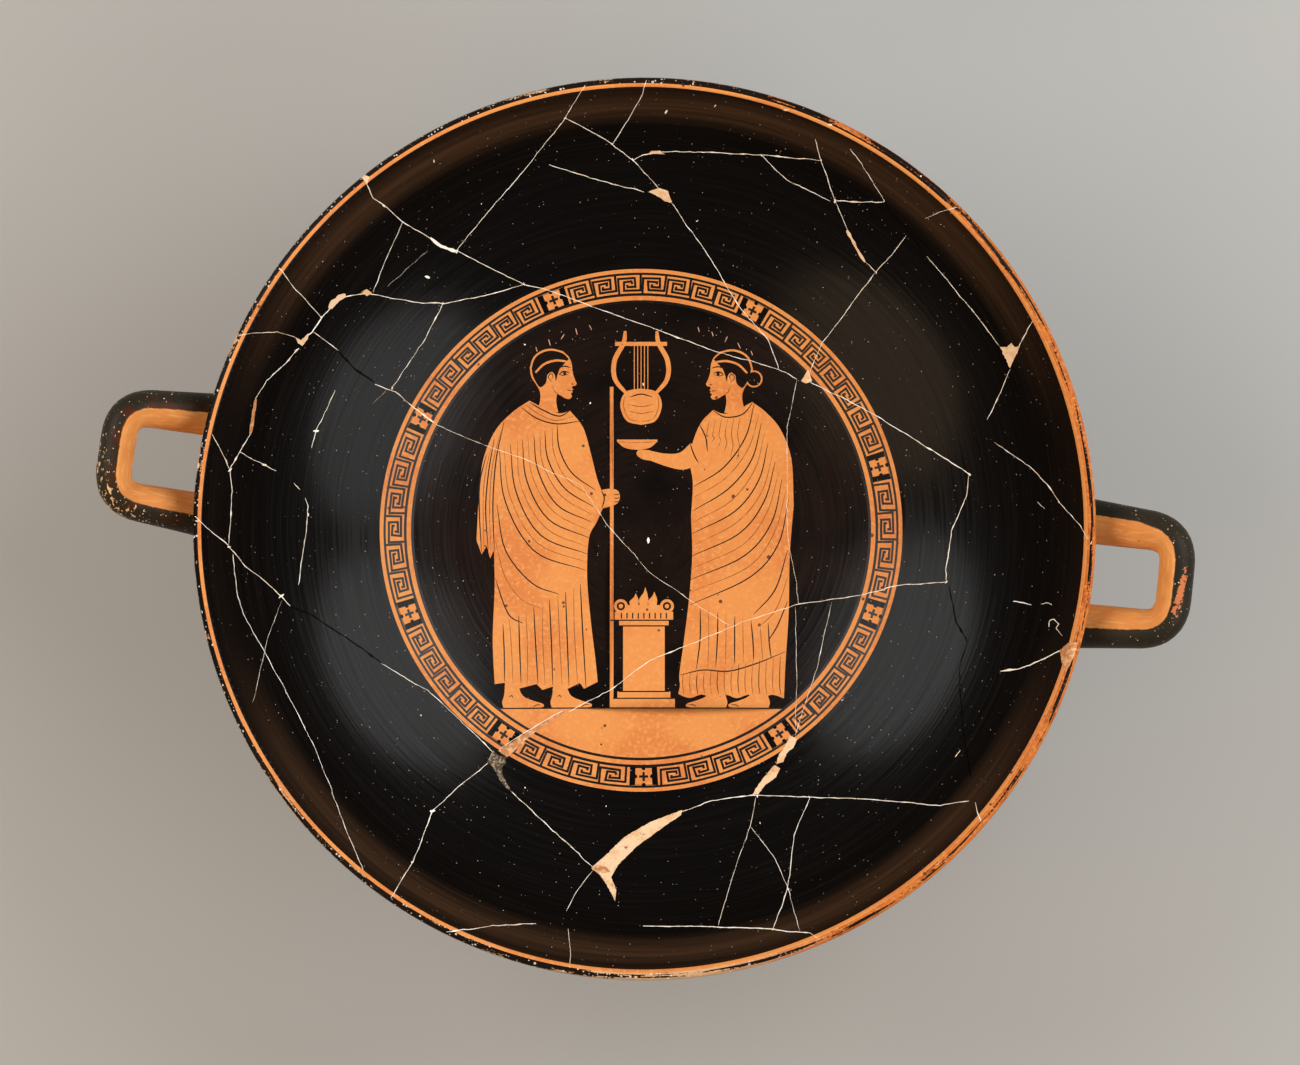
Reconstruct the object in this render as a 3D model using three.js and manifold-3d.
// A wheel-thrown drinking cup of fired clay, a kylix: a wide shallow bowl that flows into a stem
// and a disc foot, with two loop handles luted to the wall. Fired, it is one solid.
// Millimetres, +Z up. The origin is on the table, under the middle of the foot, and the handles lie along X.
import * as THREE from "three";
import { mergeVertices } from "three/addons/utils/BufferGeometryUtils.js";
import Module from "manifold-3d";

// Bowl: the inside is a shallow dish, flat in the middle, that steepens towards the lip
const BOWL_RADIUS = 151.3;
const BOWL_DEPTH = 70;
const FLOOR_HEIGHT = 54;
const WALL_STEEPENING = 0.3;
const LIP_THICKNESS = 4;
const FLOOR_THICKNESS = 6.5;
const FLARE_RADIUS = 44;

// Stem and foot, thrown together and hollow underneath
const STEM_RADIUS = 16.5;
const STEM_HEIGHT = 33;
const FOOT_RADIUS = 57;
const FOOT_EDGE_HEIGHT = 9;
const FOOT_STEP = 2;
const FOOT_TOP_HEIGHT = 11;
const REST_RING_OUTER = 54;
const REST_RING_INNER = 47;
const HOLLOW_HEIGHT = 36;
const HOLLOW_NECK_RADIUS = 8;
const HOLLOW_SHOULDER_HEIGHT = 9;

// Handles: round bars bent to a rounded square, rising outwards from below the lip
const HANDLE_RADIUS = 6.5;
const HANDLE_OUTER_RADIUS = 189.3;
const HANDLE_ROOT_RADIUS = 128;
const HANDLE_ROOT_HEIGHT = 100;
const HANDLE_ROOT_HALF_SPAN = 18.8;
const HANDLE_END_HALF_SPAN = 16.6;
const HANDLE_CORNER_RADIUS = 11;
const HANDLE_RISE = 22;
const HANDLE_LIFT_POWER = 1.7;

// The potter set both handles a little to the +Y side of the middle
const HANDLE_SHIFT = THREE.MathUtils.degToRad(1.3);

// How finely the round forms are divided
const TURNS = 72;
const WALL_STEPS = 10;
const ARC_STEPS = 3;
const CURVE_STEPS = 5;
const HANDLE_HALF_SIDES = 7;
const HANDLE_STEPS = 26;

const CLAY_COLOUR = 0x1b1714;
const GLOSS_ROUGHNESS = 0.32;

const wasm = await Module();
wasm.setup();

// The height of the bowl's inside surface at a distance from the axis.
function bowlHeight(radius) {
  const reach = radius / BOWL_RADIUS;
  const dish = (1 - WALL_STEEPENING) * reach ** 2 + WALL_STEEPENING * reach ** 6;
  return FLOOR_HEIGHT + BOWL_DEPTH * dish;
}

// The point on the bowl's outside surface behind an inside point: the wall thickens towards the floor.
function bowlOutside(radius) {
  const step = 0.01;
  const slope = (bowlHeight(radius + step) - bowlHeight(radius - step)) / (2 * step);
  const normal = new THREE.Vector2(slope, -1).normalize();
  const thickness = THREE.MathUtils.lerp(FLOOR_THICKNESS, LIP_THICKNESS, radius / BOWL_RADIUS);
  return new THREE.Vector2(radius, bowlHeight(radius)).addScaledVector(normal, thickness);
}

// Points of the inside surface from the axis to the lip.
function insidePoints() {
  return Array.from({ length: WALL_STEPS + 1 }, (_, i) => {
    const radius = (BOWL_RADIUS * i) / WALL_STEPS;
    return new THREE.Vector2(radius, bowlHeight(radius));
  });
}

// Points of the outside surface from the top of the stem's flare to the lip.
function outsidePoints() {
  return Array.from({ length: WALL_STEPS + 1 }, (_, i) =>
    bowlOutside(THREE.MathUtils.lerp(FLARE_RADIUS, BOWL_RADIUS, i / WALL_STEPS)),
  );
}

// The underside of the foot, from the top of its hollow down to the ring that it stands on.
function hollowPath() {
  return new THREE.Path()
    .moveTo(0, HOLLOW_HEIGHT)
    .quadraticCurveTo(HOLLOW_NECK_RADIUS, HOLLOW_HEIGHT, HOLLOW_NECK_RADIUS, HOLLOW_HEIGHT - HOLLOW_NECK_RADIUS)
    .bezierCurveTo(
      HOLLOW_NECK_RADIUS,
      HOLLOW_SHOULDER_HEIGHT,
      REST_RING_INNER - HOLLOW_SHOULDER_HEIGHT,
      HOLLOW_SHOULDER_HEIGHT,
      REST_RING_INNER,
      0,
    );
}

// The foot's rounded edge, the small step on its top, and the stem up to where the bowl begins.
function footPath() {
  const edgeMiddle = FOOT_EDGE_HEIGHT / 2;
  const stepRadius = REST_RING_OUTER - FOOT_STEP;
  const flare = bowlOutside(FLARE_RADIUS);
  const beyond = bowlOutside(FLARE_RADIUS + 1);
  const slope = (beyond.y - flare.y) / (beyond.x - flare.x);
  const reach = flare.x - STEM_RADIUS;
  return new THREE.Path()
    .moveTo(REST_RING_OUTER, 0)
    .quadraticCurveTo(FOOT_RADIUS, 0, FOOT_RADIUS, edgeMiddle)
    .quadraticCurveTo(FOOT_RADIUS, FOOT_EDGE_HEIGHT, REST_RING_OUTER, FOOT_EDGE_HEIGHT)
    .lineTo(stepRadius, FOOT_TOP_HEIGHT)
    .bezierCurveTo(
      STEM_RADIUS * 2,
      FOOT_TOP_HEIGHT + FOOT_STEP,
      STEM_RADIUS,
      (FOOT_TOP_HEIGHT + STEM_HEIGHT) / 2,
      STEM_RADIUS,
      STEM_HEIGHT,
    )
    .bezierCurveTo(
      STEM_RADIUS,
      STEM_HEIGHT + reach / 3,
      flare.x - reach / 2,
      flare.y - (slope * reach) / 2,
      flare.x,
      flare.y,
    );
}

// Half of the rounded lip, as points from one face of the wall to the top of the lip or back.
function lipArc(from, to) {
  const inner = insidePoints().at(-1);
  const outer = outsidePoints().at(-1);
  const middle = inner.clone().add(outer).multiplyScalar(0.5);
  const start = inner.clone().sub(middle);
  return Array.from({ length: ARC_STEPS + 1 }, (_, i) => {
    const turn = -Math.PI * THREE.MathUtils.lerp(from, to, i / ARC_STEPS);
    return start.clone().rotateAround(new THREE.Vector2(), turn).add(middle);
  });
}

// A closed solid turned on the Z axis from a profile of (radius, height) points.
function turned(profile) {
  const points = profile.filter((p, i) => i === 0 || p.distanceTo(profile[i - 1]) > 1e-3);
  return new THREE.LatheGeometry(points, TURNS).rotateX(Math.PI / 2);
}

// The cup without its handles, with the bowl filled to the middle of the lip.
function filledCup() {
  const lip = lipArc(1, 0.5);
  return turned([
    ...hollowPath().getPoints(CURVE_STEPS),
    ...footPath().getPoints(CURVE_STEPS),
    ...outsidePoints(),
    ...lip,
    new THREE.Vector2(0, lip.at(-1).y),
  ]);
}

// What the bowl holds, carried up past the lip so that it cuts clean.
function bowlCavity() {
  const lip = lipArc(0, 0.5);
  const top = lip.at(-1).y + LIP_THICKNESS;
  return turned([
    ...insidePoints(),
    ...lip,
    new THREE.Vector2(lip.at(-1).x, top),
    new THREE.Vector2(0, top),
  ]);
}

// A handle's middle line on +X: a rounded square in plan, lifted as it runs outwards.
function handleCurve() {
  const far = HANDLE_OUTER_RADIUS - HANDLE_RADIUS - HANDLE_ROOT_RADIUS;
  const side = HANDLE_END_HALF_SPAN;
  const corner = HANDLE_CORNER_RADIUS;
  const plan = new THREE.Path()
    .moveTo(0, HANDLE_ROOT_HALF_SPAN)
    .lineTo(far - corner, side)
    .quadraticCurveTo(far, side, far, side - corner)
    .lineTo(far, corner - side)
    .quadraticCurveTo(far, -side, far - corner, -side)
    .lineTo(0, -HANDLE_ROOT_HALF_SPAN);
  const points = plan.getSpacedPoints(HANDLE_STEPS).map((p) => {
    const lift = HANDLE_RISE * (Math.max(p.x, 0) / far) ** HANDLE_LIFT_POWER;
    return new THREE.Vector3(HANDLE_ROOT_RADIUS + p.x, p.y, HANDLE_ROOT_HEIGHT + lift);
  });
  return new THREE.CatmullRomCurve3(points);
}

// A handle as a round bar along its middle line, turned about Z to its side of the cup.
function handleBar(turn) {
  const section = new THREE.Shape().absarc(0, 0, HANDLE_RADIUS, 0, 2 * Math.PI);
  const bar = new THREE.ExtrudeGeometry(section, {
    steps: HANDLE_STEPS,
    curveSegments: HANDLE_HALF_SIDES,
    extrudePath: handleCurve(),
  });
  return bar.rotateZ(turn);
}

// A geometry as a solid for joining and cutting.
function solidOf(geometry) {
  const bare = geometry.clone();
  bare.deleteAttribute("normal");
  bare.deleteAttribute("uv");
  const merged = mergeVertices(bare, 1e-4);
  const mesh = new wasm.Mesh({
    numProp: 3,
    vertProperties: new Float32Array(merged.attributes.position.array),
    triVerts: new Uint32Array(merged.index.array),
  });
  return new wasm.Manifold(mesh);
}

// A solid as a geometry again.
function geometryOf(solid) {
  const mesh = solid.getMesh();
  const geometry = new THREE.BufferGeometry();
  geometry.setAttribute("position", new THREE.BufferAttribute(mesh.vertProperties, 3));
  geometry.setIndex(new THREE.BufferAttribute(mesh.triVerts, 1));
  geometry.computeVertexNormals();
  return geometry;
}

const fired = solidOf(filledCup())
  .add(solidOf(handleBar(HANDLE_SHIFT)))
  .add(solidOf(handleBar(Math.PI - HANDLE_SHIFT)))
  .subtract(solidOf(bowlCavity()));

const gloss = new THREE.MeshStandardMaterial({
  color: CLAY_COLOUR,
  roughness: GLOSS_ROUGHNESS,
  metalness: 0,
});
const cup = new THREE.Mesh(geometryOf(fired), gloss);
cup.name = "kylix";

const kylix = new THREE.Group();
kylix.add(cup);

export default kylix;
